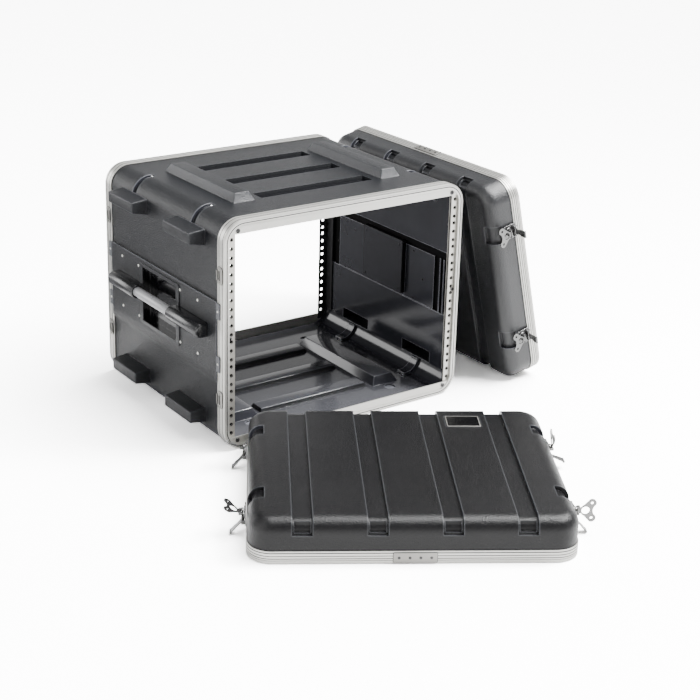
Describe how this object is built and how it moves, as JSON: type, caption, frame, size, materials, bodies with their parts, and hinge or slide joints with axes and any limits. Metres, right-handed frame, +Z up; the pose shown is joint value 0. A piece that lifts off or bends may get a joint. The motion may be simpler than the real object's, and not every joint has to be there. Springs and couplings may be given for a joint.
{
  "type": "equipment rack case",
  "caption": "Moulded plastic rack case open at both ends, with aluminium edge frames, rack rails, side handles and lift-off lids with butterfly latches.",
  "frame": {"origin": "middle of the front frame's bottom land, on the floor the case stands on", "axes": "+X to the right seen from the front opening, +Y from the front opening to the rear opening, +Z up"},
  "size_m": [0.8356, 1.0789, 0.4192],
  "materials": {
    "abs": "charcoal moulded plastic with a fine pebble grain",
    "frame_metal": "satin extruded aluminium",
    "rail_steel": "zinc-plated punched steel",
    "hardware": "bright nickel-plated pressed steel",
    "gloss_black": "smooth glossy black plastic",
    "grip": "satin light grey sleeve"
  },
  "bodies": {
    "case": {"upper_shell": "abs", "lower_shell": "abs", "front_frame": "frame_metal", "rear_frame": "frame_metal", "front_right_rail": "rail_steel", "front_left_rail": "rail_steel", "rear_right_rail": "rail_steel", "rear_left_rail": "rail_steel", "right_handle_housing": "gloss_black", "left_handle_housing": "gloss_black", "right_handle_grip": "grip", "left_handle_grip": "grip", "front_right_upper_keeper": "hardware", "front_left_upper_keeper": "hardware", "front_right_lower_keeper": "hardware", "front_left_lower_keeper": "hardware", "rear_right_upper_keeper": "hardware", "rear_left_upper_keeper": "hardware", "rear_right_lower_keeper": "hardware", "rear_left_lower_keeper": "hardware"},
    "front_lid_latch_1_boss": {"front_lid_latch_1_boss": "hardware"},
    "front_lid_latch_1_wing": {"front_lid_latch_1_wing": "hardware"},
    "front_lid_latch_1_hook": {"front_lid_latch_1_hook": "hardware"},
    "front_lid_latch_2_boss": {"front_lid_latch_2_boss": "hardware"},
    "front_lid_latch_2_wing": {"front_lid_latch_2_wing": "hardware"},
    "front_lid_latch_2_hook": {"front_lid_latch_2_hook": "hardware"},
    "front_lid_latch_3_boss": {"front_lid_latch_3_boss": "hardware"},
    "front_lid_latch_3_wing": {"front_lid_latch_3_wing": "hardware"},
    "front_lid_latch_3_hook": {"front_lid_latch_3_hook": "hardware"},
    "front_lid_latch_4_boss": {"front_lid_latch_4_boss": "hardware"},
    "front_lid_latch_4_wing": {"front_lid_latch_4_wing": "hardware"},
    "front_lid_latch_4_hook": {"front_lid_latch_4_hook": "hardware"},
    "front_lid": {"front_lid_shell": "abs", "front_lid_frame": "frame_metal", "front_lid_splice_plate": "hardware", "front_lid_badge_plate": "gloss_black", "front_lid_latch_1_base": "hardware", "front_lid_latch_2_base": "hardware", "front_lid_latch_3_base": "hardware", "front_lid_latch_4_base": "hardware"},
    "rear_lid_latch_1_boss": {"rear_lid_latch_1_boss": "hardware"},
    "rear_lid_latch_1_wing": {"rear_lid_latch_1_wing": "hardware"},
    "rear_lid_latch_1_hook": {"rear_lid_latch_1_hook": "hardware"},
    "rear_lid_latch_2_boss": {"rear_lid_latch_2_boss": "hardware"},
    "rear_lid_latch_2_wing": {"rear_lid_latch_2_wing": "hardware"},
    "rear_lid_latch_2_hook": {"rear_lid_latch_2_hook": "hardware"},
    "rear_lid_latch_3_boss": {"rear_lid_latch_3_boss": "hardware"},
    "rear_lid_latch_3_wing": {"rear_lid_latch_3_wing": "hardware"},
    "rear_lid_latch_3_hook": {"rear_lid_latch_3_hook": "hardware"},
    "rear_lid_latch_4_boss": {"rear_lid_latch_4_boss": "hardware"},
    "rear_lid_latch_4_wing": {"rear_lid_latch_4_wing": "hardware"},
    "rear_lid_latch_4_hook": {"rear_lid_latch_4_hook": "hardware"},
    "rear_lid": {"rear_lid_shell": "abs", "rear_lid_frame": "frame_metal", "rear_lid_splice_plate": "hardware", "rear_lid_latch_1_base": "hardware", "rear_lid_latch_2_base": "hardware", "rear_lid_latch_3_base": "hardware", "rear_lid_latch_4_base": "hardware"}
  },
  "joints": [
    {"name": "front_lid_lift", "type": "slide", "parent": "case", "child": "front_lid", "axis": [0, 0, 1], "range_m": [0, 0.5]},
    {"name": "front_lid_latch_1_turn", "type": "hinge", "parent": "front_lid", "child": "front_lid_latch_1_boss", "pos_m": [0.06216, -0.53117, 0.037], "axis": [0.848, -0.5299, 0], "range_deg": [-90, 90]},
    {"name": "front_lid_latch_1_flip", "type": "hinge", "parent": "front_lid_latch_1_boss", "child": "front_lid_latch_1_wing", "pos_m": [0.06785, -0.53472, 0.037], "axis": [0, 0, 1], "range_deg": [-90, 0]},
    {"name": "front_lid_latch_1_swing", "type": "hinge", "parent": "front_lid", "child": "front_lid_latch_1_hook", "pos_m": [0.06403, -0.53233, 0.024], "axis": [0.5299, 0.848, 0], "range_deg": [-14, 41]},
    {"name": "front_lid_latch_2_turn", "type": "hinge", "parent": "front_lid", "child": "front_lid_latch_2_boss", "pos_m": [0.17874, -0.34459, 0.037], "axis": [0.848, -0.5299, 0], "range_deg": [-90, 90]},
    {"name": "front_lid_latch_2_flip", "type": "hinge", "parent": "front_lid_latch_2_boss", "child": "front_lid_latch_2_wing", "pos_m": [0.18443, -0.34815, 0.037], "axis": [0.5299, 0.848, 0], "range_deg": [0, 90]},
    {"name": "front_lid_latch_2_swing", "type": "hinge", "parent": "front_lid", "child": "front_lid_latch_2_hook", "pos_m": [0.18061, -0.34576, 0.024], "axis": [0.5299, 0.848, 0], "range_deg": [-12, 67]},
    {"name": "front_lid_latch_3_turn", "type": "hinge", "parent": "front_lid", "child": "front_lid_latch_3_boss", "pos_m": [-0.36474, -0.26441, 0.037], "axis": [-0.848, 0.5299, 0], "range_deg": [-90, 90]},
    {"name": "front_lid_latch_3_flip", "type": "hinge", "parent": "front_lid_latch_3_boss", "child": "front_lid_latch_3_wing", "pos_m": [-0.37043, -0.26085, 0.037], "axis": [-0.5299, -0.848, 0], "range_deg": [-60, 30]},
    {"name": "front_lid_latch_3_swing", "type": "hinge", "parent": "front_lid", "child": "front_lid_latch_3_hook", "pos_m": [-0.36661, -0.26324, 0.024], "axis": [-0.5299, -0.848, 0], "range_deg": [-14, 41]},
    {"name": "front_lid_latch_4_turn", "type": "hinge", "parent": "front_lid", "child": "front_lid_latch_4_boss", "pos_m": [-0.24816, -0.07783, 0.037], "axis": [-0.848, 0.5299, 0], "range_deg": [-90, 90]},
    {"name": "front_lid_latch_4_flip", "type": "hinge", "parent": "front_lid_latch_4_boss", "child": "front_lid_latch_4_wing", "pos_m": [-0.25384, -0.07428, 0.037], "axis": [-0.498, -0.7969, 0.342], "range_deg": [-66, 24]},
    {"name": "front_lid_latch_4_swing", "type": "hinge", "parent": "front_lid", "child": "front_lid_latch_4_hook", "pos_m": [-0.25003, -0.07667, 0.024], "axis": [-0.5299, -0.848, 0], "range_deg": [-14, 41]},
    {"name": "rear_lid_lift", "type": "slide", "parent": "case", "child": "rear_lid", "axis": [0, 0, 1], "range_m": [0, 0.5]},
    {"name": "rear_lid_latch_1_turn", "type": "hinge", "parent": "rear_lid", "child": "rear_lid_latch_1_boss", "pos_m": [0.379, -0.0502, 0.0937], "axis": [0, -1, 0], "range_deg": [-90, 90]},
    {"name": "rear_lid_latch_1_flip", "type": "hinge", "parent": "rear_lid_latch_1_boss", "child": "rear_lid_latch_1_wing", "pos_m": [0.379, -0.0569, 0.0937], "axis": [-0.2334, 0, 0.9724], "range_deg": [0, 90]},
    {"name": "rear_lid_latch_1_swing", "type": "hinge", "parent": "rear_lid", "child": "rear_lid_latch_1_hook", "pos_m": [0.39164, -0.0524, 0.09674], "axis": [-0.2334, 0, 0.9724], "range_deg": [-4, 99]},
    {"name": "rear_lid_latch_2_turn", "type": "hinge", "parent": "rear_lid", "child": "rear_lid_latch_2_boss", "pos_m": [0.32764, -0.0502, 0.30762], "axis": [0, -1, 0], "range_deg": [-90, 90]},
    {"name": "rear_lid_latch_2_flip", "type": "hinge", "parent": "rear_lid_latch_2_boss", "child": "rear_lid_latch_2_wing", "pos_m": [0.32764, -0.0569, 0.30762], "axis": [-0.2334, 0, 0.9724], "range_deg": [0, 90]},
    {"name": "rear_lid_latch_2_swing", "type": "hinge", "parent": "rear_lid", "child": "rear_lid_latch_2_hook", "pos_m": [0.34028, -0.0524, 0.31066], "axis": [-0.2334, 0, 0.9724], "range_deg": [-12, 91]},
    {"name": "rear_lid_latch_3_turn", "type": "hinge", "parent": "rear_lid", "child": "rear_lid_latch_3_boss", "pos_m": [0.379, 0.4532, 0.0937], "axis": [0, 1, 0], "range_deg": [-90, 90]},
    {"name": "rear_lid_latch_3_flip", "type": "hinge", "parent": "rear_lid_latch_3_boss", "child": "rear_lid_latch_3_wing", "pos_m": [0.379, 0.4599, 0.0937], "axis": [0.2334, 0, -0.9724], "range_deg": [0, 90]},
    {"name": "rear_lid_latch_3_swing", "type": "hinge", "parent": "rear_lid", "child": "rear_lid_latch_3_hook", "pos_m": [0.39164, 0.4554, 0.09674], "axis": [0.2334, 0, -0.9724], "range_deg": [-4, 99]},
    {"name": "rear_lid_latch_4_turn", "type": "hinge", "parent": "rear_lid", "child": "rear_lid_latch_4_boss", "pos_m": [0.32764, 0.4532, 0.30762], "axis": [0, 1, 0], "range_deg": [-90, 90]},
    {"name": "rear_lid_latch_4_flip", "type": "hinge", "parent": "rear_lid_latch_4_boss", "child": "rear_lid_latch_4_wing", "pos_m": [0.32764, 0.4599, 0.30762], "axis": [0.2334, 0, -0.9724], "range_deg": [0, 90]},
    {"name": "rear_lid_latch_4_swing", "type": "hinge", "parent": "rear_lid", "child": "rear_lid_latch_4_hook", "pos_m": [0.34028, 0.4554, 0.31066], "axis": [0.2334, 0, -0.9724], "range_deg": [-12, 91]}
  ]
}
